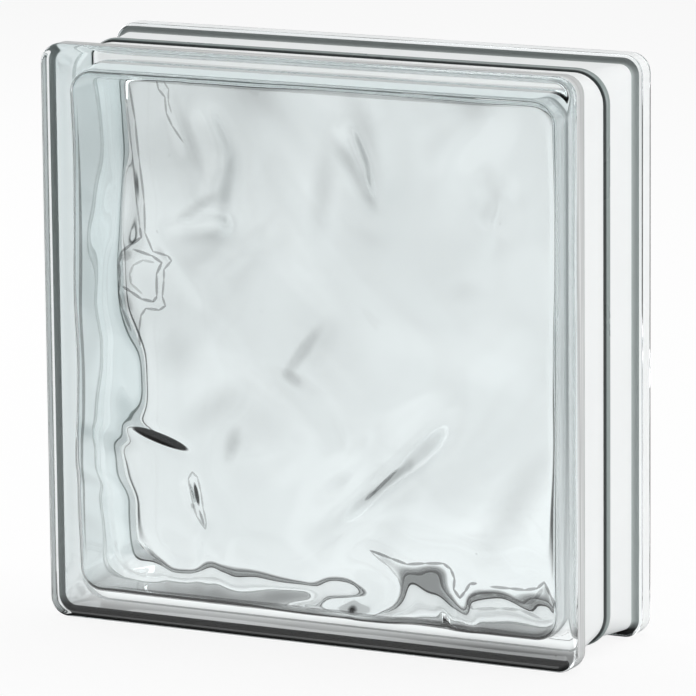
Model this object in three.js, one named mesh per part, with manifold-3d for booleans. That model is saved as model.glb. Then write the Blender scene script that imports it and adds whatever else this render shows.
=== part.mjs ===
// Hollow glass block for walls, 190 x 190 x 60 mm.
// Two pressed glass dishes stand rim to rim and are fused at a seam in mid depth, round a sealed
// air space. Each dish has a flat outer face, a lip that stands proud round its edge, a recessed
// band that takes the mortar, and a wavy inner face that blurs the view through the block.
//
// Millimetres, +Z up, X across and Y through the block, with the front face towards -Y.
// The block stands on the lips of its bottom edge, and its origin is in the middle of that edge.

import * as THREE from 'three';
import { mergeVertices, toCreasedNormals } from 'three/addons/utils/BufferGeometryUtils.js';
import Module from 'manifold-3d';

// ---- Driving dimensions -------------------------------------------------------------------

// The block as a whole
const FACE_WIDTH = 190;
const FACE_HEIGHT = 190;
const BLOCK_DEPTH = 60;

// The lip round each face
const LIP_THICKNESS = 8.5;
const LIP_CORNER_RADIUS = 6.5;
const FACE_EDGE_RADIUS = 2;
const LIP_BACK_RADIUS = 0.9;

// The recessed band between the lips, with the bead of the fused seam in its middle. Its corners
// keep to those of the lip at the step, and grow rounder towards the seam.
const RECESS_DEPTH = 2.75;
const RECESS_CORNER_RADIUS = 10;
const RECESS_FOOT_RADIUS = 1.2;
const SEAM_BEAD_HEIGHT = 1.2;
const SEAM_BEAD_HALF_WIDTH = 2;

// The glass round the air space
const SIDE_WALL = 4.5;
const WALL_DRAFT = 1.2;
const FACE_THICKNESS = 7.5;
const CAVITY_CORNER_RADIUS = 8;
const INNER_FILLET_RADIUS = 2.5;
const INNER_BEAD_HEIGHT = 0.8;

// The wavy relief of each inner face: long soft waves that cross each other and bend
const RELIEF_DEPTH = 2;
const RELIEF_BEND = 7;
const RELIEF_BEND_LENGTH = 88;
const RELIEF_WAVES = [
  { length: 71.4, heading: 13, share: 0.19, phase: -0.77 },
  { length: 59.5, heading: 65, share: 0.54, phase: 0.51 },
  { length: 44.7, heading: 138, share: 0.11, phase: 3.78 },
  { length: 28.4, heading: 35, share: 0.04, phase: -0.29 },
];

// Swells and hollows of the front inner face near its border: the place of the middle, the whole
// length and width, the heading of the length from +X towards +Z, and the height
const FRONT_SWELLS = [
  { x: -69.3, z: 75.0, length: 39.0, width: 24.0, heading: 87, height: -1.38 },
  { x: -67.8, z: -13.8, length: 22.8, width: 12.5, heading: -89, height: 0.90 },
  { x: -79.6, z: -40.9, length: 16.2, width: 24.8, heading: 73, height: -1.95 },
  { x: -67.8, z: -74.5, length: 19.6, width: 21.9, heading: 13, height: 0.64 },
  { x: -35.1, z: -70.8, length: 11.8, width: 19.2, heading: -10, height: -1.08 },
  { x: 12.3, z: -80.2, length: 19.4, width: 10.0, heading: -3, height: 2.56 },
  { x: 22.6, z: -83.0, length: 18.5, width: 20.5, heading: -5, height: -3.35 },
  { x: 28.1, z: -78.8, length: 43.3, width: 22.6, heading: -41, height: 2.68 },
  { x: 52.6, z: -84.7, length: 9.7, width: 14.1, heading: 23, height: -1.27 },
  { x: 62.2, z: -75.3, length: 27.4, width: 27.4, heading: 11, height: -1.46 },
  { x: -58.5, z: 18.2, length: 16.0, width: 14.2, heading: 73, height: 1.13 },
  { x: -60.3, z: 7.2, length: 15.0, width: 12.0, heading: -4, height: 0.92 },
];

// The two dishes share one pattern of waves, and the rear one stands a quarter turn round
const GLASS_COLOUR = 0xdfeae6;
const GLASS_OPACITY = 0.35;
const GLASS_ROUGHNESS = 0.03;
const DISHES = [
  { name: 'front_dish', facing: 0, reliefTurn: 0, swells: FRONT_SWELLS },
  { name: 'rear_dish', facing: Math.PI, reliefTurn: Math.PI / 2, swells: [] },
];

// How finely the curves and the relief are divided
const ARC_STEPS = 4;
const CORNER_STEPS = 7;
const RELIEF_RINGS = 16;
const CREASE_ANGLE = Math.PI / 6;

// How far the cut for the air space runs past the seam
const CUT_PAST_SEAM = 1;

// ---- Sections -----------------------------------------------------------------------------
// A station is one outline of a loft: its inset from the outline of the face, its place y through
// the block, with the seam at 0, and the radius of its corners.

const QUARTER_TURN = Math.PI / 2;
const FACE_Y = -BLOCK_DEPTH / 2;
const LIP_BACK_Y = FACE_Y + LIP_THICKNESS;
const RIM_INSET = RECESS_DEPTH + SIDE_WALL;

// A quarter of an ellipse as [inset, y] points, from one heading to the next.
function quarterArc(inset, y, insetRadius, yRadius, startAngle, sweep) {
  const points = [];
  for (let step = 0; step <= ARC_STEPS; step += 1) {
    const angle = startAngle + (sweep * step) / ARC_STEPS;
    points.push([inset + insetRadius * Math.cos(angle), y + yRadius * Math.sin(angle)]);
  }
  return points;
}

// The outside of one dish, from its face to the crest of the bead at the seam.
function outerStations() {
  const edge = FACE_EDGE_RADIUS;
  const back = LIP_BACK_RADIUS;
  const foot = RECESS_FOOT_RADIUS;
  const faceEdge = quarterArc(edge, FACE_Y + edge, edge, edge, -QUARTER_TURN, -QUARTER_TURN);
  const lipBack = quarterArc(back, LIP_BACK_Y - back, back, back, 2 * QUARTER_TURN, -QUARTER_TURN);
  const recessFoot = quarterArc(
    RECESS_DEPTH - foot, LIP_BACK_Y + foot, foot, foot, -QUARTER_TURN, QUARTER_TURN,
  );
  const bead = quarterArc(
    RECESS_DEPTH, 0, SEAM_BEAD_HEIGHT, SEAM_BEAD_HALF_WIDTH, -QUARTER_TURN, -QUARTER_TURN,
  );
  const lipCorner = (inset) => Math.max(LIP_CORNER_RADIUS - inset, 1);
  const beadCorner = (inset) => RECESS_CORNER_RADIUS + RECESS_DEPTH - inset;
  const lip = [...faceEdge, ...lipBack, ...recessFoot];
  return [
    ...lip.map(([inset, y]) => ({ inset, y, corner: lipCorner(inset) })),
    ...bead.map(([inset, y]) => ({ inset, y, corner: beadCorner(inset) })),
  ];
}

// ---- Relief -------------------------------------------------------------------------------

// Height of the wavy inner face over its mean level, at x and z from the middle of the face.
function reliefHeight(x, z, turn) {
  const across = x * Math.cos(turn) + z * Math.sin(turn);
  const up = z * Math.cos(turn) - x * Math.sin(turn);
  const bend = (2 * Math.PI) / RELIEF_BEND_LENGTH;
  const bentAcross = across + RELIEF_BEND * Math.sin(bend * up);
  const bentUp = up + RELIEF_BEND * Math.sin(bend * across);
  let height = 0;
  for (const wave of RELIEF_WAVES) {
    const heading = THREE.MathUtils.degToRad(wave.heading);
    const along = bentAcross * Math.cos(heading) + bentUp * Math.sin(heading);
    height += wave.share * Math.sin((2 * Math.PI * along) / wave.length + wave.phase);
  }
  return RELIEF_DEPTH * height;
}

// Height that the swells add to an inner face, at x and z from the middle of the face. Each is
// flat along its length and bell-shaped across it.
function swellHeight(x, z, swells) {
  let height = 0;
  for (const swell of swells) {
    const heading = THREE.MathUtils.degToRad(swell.heading);
    const fromX = x - swell.x;
    const fromZ = z - swell.z;
    const along = (fromX * Math.cos(heading) + fromZ * Math.sin(heading)) / (swell.length / 2);
    const across = (fromZ * Math.cos(heading) - fromX * Math.sin(heading)) / (swell.width / 2);
    height += swell.height * Math.exp(-(along ** 4) - across ** 2);
  }
  return height;
}

// ---- Solids -------------------------------------------------------------------------------

// Corner points of one rounded outline, in order round the block.
function outlinePoints({ inset, y, corner }) {
  const halfWidth = FACE_WIDTH / 2 - inset;
  const halfHeight = FACE_HEIGHT / 2 - inset;
  const points = [];
  for (let side = 0; side < 4; side += 1) {
    const right = side === 0 || side === 3 ? 1 : -1;
    const top = side < 2 ? 1 : -1;
    for (let step = 0; step <= CORNER_STEPS; step += 1) {
      const angle = QUARTER_TURN * (side + step / CORNER_STEPS);
      const x = right * (halfWidth - corner) + corner * Math.cos(angle);
      const z = top * (halfHeight - corner) + corner * Math.sin(angle);
      points.push(new THREE.Vector3(x, y, z));
    }
  }
  return points;
}

// Triangles of a band between two closed loops of as many points.
function bandTriangles(firstLoop, nextLoop) {
  const triangles = [];
  firstLoop.forEach((corner, index) => {
    const following = (index + 1) % firstLoop.length;
    triangles.push([corner, nextLoop[index], firstLoop[following]]);
    triangles.push([firstLoop[following], nextLoop[index], nextLoop[following]]);
  });
  return triangles;
}

// Triangles that close a flat loop, as a fan round its middle.
function fanTriangles(loop) {
  const middle = new THREE.Vector3(0, loop[0].y, 0);
  return loop.map((corner, index) => [middle, corner, loop[(index + 1) % loop.length]]);
}

// A closed solid from triangles of THREE.Vector3 corners that wind one way.
function solidFrom(triangles) {
  const positions = triangles.flat().flatMap((point) => point.toArray());
  const soup = new THREE.BufferGeometry();
  soup.setAttribute('position', new THREE.Float32BufferAttribute(positions, 3));
  const geometry = mergeVertices(soup);
  return new wasm.Manifold(new wasm.Mesh({
    numProp: 3,
    vertProperties: geometry.attributes.position.array,
    triVerts: Uint32Array.from(geometry.index.array),
  }));
}

// The outside of a dish, filled solid.
function dishBody() {
  const loops = outerStations().map(outlinePoints);
  const triangles = fanTriangles(loops[0]);
  for (let row = 1; row < loops.length; row += 1) {
    triangles.push(...bandTriangles(loops[row - 1], loops[row]));
  }
  triangles.push(...fanTriangles([...loops.at(-1)].reverse()));
  return solidFrom(triangles);
}

// A point on a rounded outline, where column and row count along a square of 2 * ring steps.
function squarePoint(column, row, ring, { inset, corner, scale = 1 }) {
  const halfWidth = FACE_WIDTH / 2 - inset;
  const halfHeight = FACE_HEIGHT / 2 - inset;
  const x = (column / ring) * halfWidth;
  const z = (row / ring) * halfHeight;
  const overX = Math.abs(x) - (halfWidth - corner);
  const overZ = Math.abs(z) - (halfHeight - corner);
  if (overX <= 0 || overZ <= 0) return new THREE.Vector2(x, z).multiplyScalar(scale);
  const pull = corner / Math.hypot(overX, overZ);
  return new THREE.Vector2(
    Math.sign(x) * (halfWidth - corner + overX * pull),
    Math.sign(z) * (halfHeight - corner + overZ * pull),
  ).multiplyScalar(scale);
}

// Half of the air space as a solid: the wavy inner face, the fillet round it and the side walls,
// carried on a little past the seam so that it cuts the rim of the dish open.
function airSpace(reliefTurn, swells) {
  const wallInset = RIM_INSET + WALL_DRAFT;
  const gridRings = RELIEF_RINGS + ARC_STEPS;

  const innerFacePoint = (column, row) => {
    const ring = Math.max(Math.abs(column), Math.abs(row));
    const filletTurn = (QUARTER_TURN * Math.max(ring - RELIEF_RINGS, 0)) / ARC_STEPS;
    const fromWall = INNER_FILLET_RADIUS * (1 - Math.sin(filletTurn));
    const corner = Math.max(CAVITY_CORNER_RADIUS - fromWall, 1);
    const scale = Math.min(ring / RELIEF_RINGS, 1);
    const { x, y: z } = squarePoint(column, row, ring || 1, { inset: wallInset + fromWall, corner, scale });
    const rise = INNER_FILLET_RADIUS * (1 - Math.cos(filletTurn));
    const relief = reliefHeight(x, z, reliefTurn) + swellHeight(x, z, swells);
    return new THREE.Vector3(x, FACE_Y + FACE_THICKNESS + rise + relief, z);
  };

  const triangles = [];
  for (let column = -gridRings; column < gridRings; column += 1) {
    for (let row = -gridRings; row < gridRings; row += 1) {
      const low = innerFacePoint(column, row);
      const lowNext = innerFacePoint(column + 1, row);
      const high = innerFacePoint(column, row + 1);
      const highNext = innerFacePoint(column + 1, row + 1);
      triangles.push([low, lowNext, highNext], [low, highNext, high]);
    }
  }

  const border = [];
  for (let step = -gridRings; step < gridRings; step += 1) border.push([gridRings, step]);
  for (let step = gridRings; step > -gridRings; step -= 1) border.push([step, gridRings]);
  for (let step = gridRings; step > -gridRings; step -= 1) border.push([-gridRings, step]);
  for (let step = -gridRings; step < gridRings; step += 1) border.push([step, -gridRings]);

  const bead = quarterArc(
    RIM_INSET, 0, INNER_BEAD_HEIGHT, SEAM_BEAD_HALF_WIDTH, -QUARTER_TURN, QUARTER_TURN,
  );
  const pastSeam = [RIM_INSET + INNER_BEAD_HEIGHT, CUT_PAST_SEAM];
  let loop = border.map(([column, row]) => innerFacePoint(column, row));
  for (const [inset, y] of [...bead, pastSeam]) {
    const nextLoop = border.map(([column, row]) => {
      const point = squarePoint(column, row, gridRings, { inset, corner: CAVITY_CORNER_RADIUS });
      return new THREE.Vector3(point.x, y, point.y);
    });
    triangles.push(...bandTriangles(loop, nextLoop));
    loop = nextLoop;
  }
  triangles.push(...fanTriangles([...loop].reverse()));
  return solidFrom(triangles);
}

// ---- Assembly -----------------------------------------------------------------------------

function dishMesh({ name, facing, reliefTurn, swells }) {
  const { vertProperties, triVerts } = dishBody().subtract(airSpace(reliefTurn, swells)).getMesh();
  const geometry = new THREE.BufferGeometry();
  geometry.setAttribute('position', new THREE.BufferAttribute(vertProperties, 3));
  geometry.setIndex(new THREE.BufferAttribute(triVerts, 1));
  const glass = new THREE.MeshStandardMaterial({
    name: 'pressed_glass',
    color: GLASS_COLOUR,
    roughness: GLASS_ROUGHNESS,
    metalness: 0,
    transparent: true,
    opacity: GLASS_OPACITY,
  });
  const mesh = new THREE.Mesh(toCreasedNormals(geometry, CREASE_ANGLE), glass);
  mesh.name = name;
  mesh.rotation.z = facing;
  return mesh;
}

const wasm = await Module();
wasm.setup();

const block = new THREE.Group();
block.name = 'glass_block';
block.position.z = FACE_HEIGHT / 2;
for (const dish of DISHES) block.add(dishMesh(dish));

export default block;
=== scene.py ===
"""Dresses a hollow glass block for walls as clear pressed glass, on a pale studio floor.

The outside and the air space are modelled as one fused glass body, so that light bends at every
surface as it does in the real block. All lengths are metres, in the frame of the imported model.
"""

import math

import bpy
import numpy as np
from mathutils import Matrix, Vector


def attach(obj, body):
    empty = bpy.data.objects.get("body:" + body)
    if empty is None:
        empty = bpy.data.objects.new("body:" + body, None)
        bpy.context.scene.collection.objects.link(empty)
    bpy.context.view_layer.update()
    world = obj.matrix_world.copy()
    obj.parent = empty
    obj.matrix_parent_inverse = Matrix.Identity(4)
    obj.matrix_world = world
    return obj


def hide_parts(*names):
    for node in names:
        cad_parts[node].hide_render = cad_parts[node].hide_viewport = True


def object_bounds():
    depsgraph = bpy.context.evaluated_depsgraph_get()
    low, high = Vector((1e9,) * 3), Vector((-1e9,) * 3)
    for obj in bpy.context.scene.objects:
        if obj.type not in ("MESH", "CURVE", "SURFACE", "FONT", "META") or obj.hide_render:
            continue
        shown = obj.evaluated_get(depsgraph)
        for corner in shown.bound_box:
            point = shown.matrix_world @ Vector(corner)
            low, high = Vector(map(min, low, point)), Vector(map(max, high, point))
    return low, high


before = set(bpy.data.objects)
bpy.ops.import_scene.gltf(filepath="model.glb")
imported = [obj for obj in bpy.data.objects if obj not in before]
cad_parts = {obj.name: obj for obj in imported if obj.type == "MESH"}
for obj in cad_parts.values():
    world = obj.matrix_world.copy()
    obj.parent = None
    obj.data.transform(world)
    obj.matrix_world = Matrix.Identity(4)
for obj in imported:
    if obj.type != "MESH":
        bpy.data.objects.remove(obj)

bl_info = {
    "name": "Glass block dresser",
    "version": (1, 0, 0),
    "blender": (4, 5, 0),
    "location": "3D View > Sidebar > Glass Block",
    "description": "Builds a hollow pressed glass block and the studio that it stands in",
    "category": "Object",
}

MM = 0.001
TINY = 0.0001
QUARTER_TURN = math.pi / 2
BLACK = (0.0, 0.0, 0.0, 1.0)
WHITE = (1.0, 1.0, 1.0, 1.0)

CAD_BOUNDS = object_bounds()
CAD_LOW, CAD_HIGH = CAD_BOUNDS
BLOCK_WIDTH = CAD_HIGH.x - CAD_LOW.x
BLOCK_DEPTH = CAD_HIGH.y - CAD_LOW.y
BLOCK_HEIGHT = CAD_HIGH.z - CAD_LOW.z
BLOCK_CENTRE = (CAD_LOW + CAD_HIGH) / 2

# ---- Sizes of the glass

# How finely the body is divided. The loops of a flat end a little before its edges, which
# keeps the shading of the flats flat.
HOLDING_WIDTH = 0.0003
SMALLEST_CORNER = 0.001
BAND_SHARES = (0.04, 0.2, 0.4, 0.6, 0.8, 0.96)
CORNER_STEPS = 12
SIDE_STEPS = 28
ARC_STEPS = 6
RELIEF_RINGS = 87
FILLET_RINGS = 7
GRID_RINGS = RELIEF_RINGS + FILLET_RINGS
WALL_STEPS = 4
# The grid closes up along creases narrower than this many millimetres, by this share, within this
# reach of them. The last number says how sharply that ends past the ends of a crease.
NARROW_CREASE = 3.0
GATHER_SHARE = 0.6
GATHER_REACH = 0.005
GATHER_END = 4

# The waves of the inner faces: length in metres, heading in degrees, share of the height, phase
RELIEF_WAVES = (
    (0.0714, 13, 0.19, -0.77),
    (0.0595, 65, 0.54, 0.51),
    (0.0447, 138, 0.11, 3.78),
    (0.0284, 35, 0.04, -0.29),
)
RELIEF_BEND = 0.007
RELIEF_BEND_LENGTH = 0.088
REAR_RELIEF_TURN = QUARTER_TURN

# Creases in the inner faces: x and z of the middle, length, width, heading in degrees, height.
# Lengths are in millimetres, and headings count from the width towards the top.
FRONT_CREASES = (
    (-56.4, -33.6, 22, 4.4, -17, 0.9),
    (-44.6, -50.6, 8.5, 2.4, -72, 1.1),
    (-41.7, -52.5, 18, 5.5, -72, 0.55),
    (16.3, 61.3, 24, 4.9, -62, 1.45),
    (17.3, 66, 18.2, 5.5, -65, 1.15),
    (23.6, -36.2, 63.2, 14.7, 41, 3.58),
    (26, -39.1, 17.6, 2.9, 39, 0.2),
    (-40.3, 37.8, 20.8, 8.3, 14, 1.83),
    (-37.7, 34, 26, 11.6, 30, 1.03),
    (-36.1, 25.4, 11.5, 7.3, 24, -0.24),
    (-32.9, 53, 14.9, 10.1, 70, 1.52),
    (-22.5, 34.1, 15.3, 5.8, 29, -0.2),
    (-33.3, 67.4, 19.5, 8.3, -63, 1.62),
    (-40.1, 91.1, 52.5, 5.3, 58, 0.24),
    (-45.2, 68.2, 17.7, 5.4, -71, 0.79),
    (-31.2, 62.7, 5.7, 6.6, -16, -0.17),
    (56.5, 73.2, 30.4, 13.8, 37, -1.07),
    (65.2, 57.4, 11.3, 9.2, -28, -0.82),
    (66.1, 49.6, 11.6, 9.3, 59, -1.08),
    (-79.6, -40.9, 16.2, 24.8, 73, -1.95),
    (-65, -61.8, 23.8, 15.7, 88, -0.13),
    (-67.8, -74.5, 19.6, 21.9, 13, 0.64),
    (-45.9, -78.4, 15.5, 11.1, 7, -0.83),
    (-35.1, -70.8, 11.8, 19.2, -10, -1.08),
    (-30.1, -81.5, 13.9, 11.9, -23, -0.69),
    (-8.1, -82.7, 19.9, 6.4, 9, 1.55),
    (12.3, -80.2, 19.4, 10, -3, 2.56),
    (22.6, -83, 18.5, 20.5, -5, -3.35),
    (28.1, -78.8, 43.3, 22.6, -41, 2.68),
    (52.6, -84.7, 9.7, 14.1, 23, -1.27),
    (62.2, -75.3, 27.4, 27.4, 11, -1.46),
    (80.5, -72.5, 11.7, 14.7, 53, 0.5),
    (46.9, -69.8, 19.6, 14.3, 19, 0.84),
    (-45.2, 22.4, 24.4, 5.9, -51, -0.71),
    (-67.8, 74.6, 40.1, 24.1, 84, -1.38),
    (-68.9, 42.5, 30.9, 6, 83, -0.55),
    (-67.3, -14.3, 24.1, 12.9, -90, 0.92),
    (-79.6, 25.7, 26.2, 8.8, 79, 0.62),
    (-65, 56.9, 35.4, 10, -85, 0.17),
    (-62.1, 75, 29.9, 10, -83, 0.24),
    (-60, 17, 26, 18, 90, 1.0),
)
REAR_CREASES = (
    (-50, 40, 22, 6, -60, 0.5),
    (8, 40, 26, 7, 35, 0.5),
    (46, 20, 22, 7, -40, 0.5),
    (-10, -40, 24, 7, 60, 0.5),
    (40, -48, 20, 6, -25, 0.5),
    (60, 55, 20, 7, 70, 0.5),
)

# Streaks of painted shade in the glass of the front face, which darken its colour where the bent
# light draws dark patches and lines, three of them along the edges of the window: x and z of the
# middle, length, width, heading in degrees, how much light they take, and how hard their edges
# are. Lengths are in millimetres.
SHADE_STREAKS = (
    (-55.4, -33.1, 22.9, 3.9, -15, 1.0, 6),
    (26.1, -39.8, 16.3, 1.7, 45, 0.45, 2),
    (21.1, -44.7, 7.5, 1.6, 40, 0.4, 2),
    (-42.7, 67.3, 37, 6.6, -70, 0.19, 1),
    (-30.2, 47.6, 20.7, 8.5, 76, 0.17, 1),
    (-40.8, 44, 26, 6.1, 33, 0.21, 1),
    (-23, 33.1, 45.7, 6.8, 44, 0.06, 1),
    (12.8, 64.1, 25.3, 8.2, -56, 0.18, 1),
    (19, 69.5, 53.2, 16.3, -82, 0.18, 1),
    (5.3, 8.1, 69.2, 41.5, 65, 0.05, 1),
    (-2.4, 0.4, 28.4, 6.5, 54, 0.22, 1.3),
    (-5.8, -8.6, 11.5, 6, -30, 0.22, 1.2),
    (4.6, 3.9, 26.5, 14, 52, 0.07, 1),
    (22.7, -29.8, 26.6, 16.5, 58, 0.09, 1),
    (33.7, -43.6, 95.3, 14.6, 68, 0.06, 1),
    (-34.6, -20.7, 41, 15.8, 36, 0.16, 1),
    (-18.4, -24.2, 43.5, 32.5, -9, 0.13, 1),
    (-28.9, -32.5, 8.3, 17.8, -20, 0.24, 1),
    (-47.8, -3.3, 26.9, 26.1, -59, 0.15, 1),
    (-61.6, 61.1, 147.8, 50.3, -1, 0.16, 1),
    (66.3, 51.2, 24.7, 30.8, 20, 0.09, 1),
    (55.4, 24.2, 16.7, 10.5, 14, 0.05, 1),
    (72.2, -43.6, 58.7, 18.9, 58, 0.21, 1),
    (5.2, 53.1, 41.6, 12.1, 83, 0.16, 1),
    (-83.3, 0, 158, 1.3, 90, 0.55, 5),
    (0, -84.2, 158, 1.2, 0, 0.45, 5),
    (0, 84.2, 158, 1.2, 0, 0.3, 5),
    (-67, 26.5, 6, 4.5, 35, 0.35, 1.5),
    (-66.4, 11.4, 9, 4, -60, 0.28, 1.5),
    (-40.1, -58, 6.4, 1.2, -68, 0.5, 2.5),
    (-42.1, -50.3, 8.8, 1.9, -78, 0.95, 2.5),
)
# Thin lines of painted shade in that glass, where the bent light draws dark lines, each drawn
# through points (x, z), in millimetres: width, depth, hardness and points
SHADE_LINES = (
    # The outline of the air space and of the star
    (1.0, 0.45, 3, (
        (-63.9, 82.9), (-61.7, 71.3), (-60.7, 58.4), (-59.8, 44.4), (-59.9, 34.5), (-57.2, 28.5),
        (-51.4, 27.5), (-50.1, 26.1), (-53.1, 22.9), (-53.1, 20.0), (-53.6, 14.0), (-52.4, 11.1),
        (-54.6, 9.6), (-59.6, 9.7), (-61.3, 7.3), (-61.8, 2.5), (-61.5, -2.5),
    )),
    (0.9, 0.35, 3, (
        (-65.7, 83.4), (-64.7, 76.7), (-63.1, 60.5), (-62.8, 46.1), (-61.7, 36.0),
    )),
    (1.2, 0.5, 3, (
        (-61.7, 36.0), (-61.3, 32.8), (-65.1, 30.2), (-68.5, 27.7), (-69.5, 24.0), (-69.1, 18.7),
        (-69.5, 14.4), (-68.0, 9.0), (-64.8, 2.2),
    )),
    (1.2, 0.5, 3, (
        (-64.3, 28.6), (-57.6, 27.0), (-53.9, 25.1), (-55.9, 21.2), (-55.7, 13.8), (-57.0, 12.1),
        (-61.2, 12.6), (-65.4, 14.9), (-67.9, 16.2),
    )),
    (1.0, 0.28, 3, (
        (-61.2, 14.4), (-65.2, 17.4), (-65.7, 20.5), (-64.4, 23.5), (-61.0, 25.3), (-56.9, 24.9),
    )),
    # The rim of the small dark streak
    (0.9, 0.34, 3, (
        (-43.6, -43.1), (-41.7, -44.6), (-40.5, -49.3), (-39.7, -54.7), (-38.4, -59.4),
        (-38.7, -61.4),
    )),
    (0.9, 0.34, 3, (
        (-43.6, -43.1), (-45.0, -45.3), (-44.8, -48.9), (-43.6, -53.5), (-41.9, -57.7),
        (-38.9, -61.3),
    )),
    # The flames along the bottom
    (1.2, 0.6, 3, (
        (20.5, -63.1), (28.1, -64.9), (33.7, -66.2), (40.2, -65.2), (46.7, -64.5), (49.3, -66.0),
        (50.6, -69.0), (50.3, -72.7), (52.6, -75.2), (54.4, -73.0), (56.3, -70.1), (58.7, -69.7),
    )),
    (0.8, 0.3, 3, (
        (20.5, -63.1), (22.0, -64.7), (26.7, -67.6), (30.2, -71.1), (31.3, -74.0),
    )),
    (1.2, 0.55, 3, (
        (63.8, -70.2), (70.7, -70.0), (75.8, -70.1), (80.0, -69.1), (82.6, -66.8), (84.7, -71.1),
        (86.4, -75.1),
    )),
    (1.8, 0.4, 2, (
        (55.6, -76.9), (56.3, -74.4), (58.7, -73.0), (65.5, -72.2), (70.6, -73.4), (75.8, -74.6),
        (79.2, -72.9), (81.9, -69.0),
    )),
    (1.4, 0.35, 2, (
        (55.6, -76.9), (57.4, -78.3), (67.2, -76.9), (74.0, -76.7), (81.5, -79.1),
    )),
    # The squiggle at the upper left
    (0.9, 0.42, 3, (
        (-54.1, 84.4), (-53.5, 82.0), (-51.1, 79.5), (-50.6, 74.3), (-48.5, 70.3), (-44.9, 65.4),
    )),
    (0.8, 0.32, 3, (
        (-51.4, 84.2), (-49.8, 82.0), (-49.9, 78.0), (-48.9, 74.7),
    )),
)
# Each piece of a line is a streak that reaches a little past its ends
LINE_OVERLAP = 1.2
LINE_END = 0.4
# The part of the face within this many millimetres of a line has a material with the lines
LINE_REACH = 3.0

# The roughness of each cover of the glass, and how much light from outside shows through it
COVER_FINISHES = {
    "band_coat": (0.5, 1.0),
    "lip_coat": (0.5, 0.5),
    # The ledges' cover is painted shade and painted reflection
    "shaded_ledge": (0.6, 0.0),
    "fused_seam": (0.3, 0.6),
}

# ---- Sizes of what varies over a surface

# Cords are soft streaks drawn out along the block, and seeds are tiny bubbles
CORD_STRETCH = (25.0, 60.0, 90.0)
SEED_SPACING = 0.022
SEED_SIZE = 0.0004
SEED_EDGE = 1.5
RIPPLE_LENGTH = 0.012
CLOUD_LENGTH = 0.025
GRAIN_LENGTH = 0.0012
# How far the painted shade of the ledges reaches from the ground and from the top
LEDGE_FADE = 0.003
SEAM_CREST = 0.0013
LIP_LINE_STRETCH = (12.0, 900.0, 12.0)
LIP_FADE = 0.01
COAT_FADE = 0.01
COVER_ROUGHNESS_SPREAD = 0.2
GROOVE_SOFTNESS = 0.0003

# ---- The studio: name, place, width, height and share of the power of each soft lamp

LAMPS = (
    ("right_lamp", (1.2, 0.30, 0.45), 1.0, 0.9, 0.8),
    ("left_lamp", (-1.2, 0.30, 0.45), 1.0, 0.9, 0.9),
    ("top_lamp", (0.0, 0.3, 1.4), 1.2, 1.0, 1.05),
)

# The room is bright along one axis and across it, with dim gaps between, which draw the dark lines
# in the glass. The edges are squares of the cosine of the turn from the axis. A long pool of light
# lies on the floor, and the ceiling is dark.
BRIGHT_AXIS = (-0.454, 0.891, 0.0)
AHEAD_EDGE = 0.64
BESIDE_EDGE = 0.22
PANEL_SOFTNESS = 0.1
CEILING_EDGE = 0.18
CEILING_SOFTNESS = 0.12
POOL_AXIS = (-0.357, 0.934, 0.0)
POOL_CROSS_AXIS = (0.934, 0.357, 0.0)
POOL_OFFSET = 0.114
POOL_LENGTH = 3.1
POOL_WIDTH = 0.45
CONTACT_SOFTNESS = 0.008
GAP_START = 0.12
GAP_FADE = 0.08
LIP_EDGE = 0.0085
LIP_EDGE_SOFTNESS = 0.004
GLOW_FADE = 0.024
GLOW_FADE_RIGHT = 0.06
GLOW_LOSS_RIGHT = 0.7
# Strength of the white that the floor's levels are shares of
BRIGHTEST_FLOOR = 2.0
FLOOR_WHITENESS = 0.88
FLOOR_REACH = 6.0

# ---- The camera

CAMERA_AZIMUTH = 26.93
CAMERA_ELEVATION = 11.38
CAMERA_ROLL = -0.545
CAMERA_DISTANCE = 1.9096
CAMERA_LENS = 306.4
CAMERA_SENSOR = 36.0
CAMERA_CLIP = (0.1, 50.0)
AIM_POINT = (0.0, -0.005, 0.095)
AIM_OFFSET = (-0.0030, 0.0021)


def length_property(name, description, default, soft_max=0.05):
    """A length in metres on the panel."""
    return bpy.props.FloatProperty(
        name=name, description=description, default=default, min=0.0, soft_max=soft_max,
        precision=4, unit="LENGTH", subtype="DISTANCE",
    )


def colour_property(name, description, default):
    """A colour on the panel."""
    return bpy.props.FloatVectorProperty(
        name=name, description=description, default=default, size=3, min=0.0, max=1.0,
        subtype="COLOR",
    )


def share_property(name, description, default):
    """A share between 0 and 1 on the panel."""
    return bpy.props.FloatProperty(
        name=name, description=description, default=default, min=0.0, max=1.0,
        subtype="FACTOR",
    )


def amount_property(name, description, default, least=0.0):
    """A plain number on the panel."""
    return bpy.props.FloatProperty(
        name=name, description=description, default=default, min=least,
    )


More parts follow.
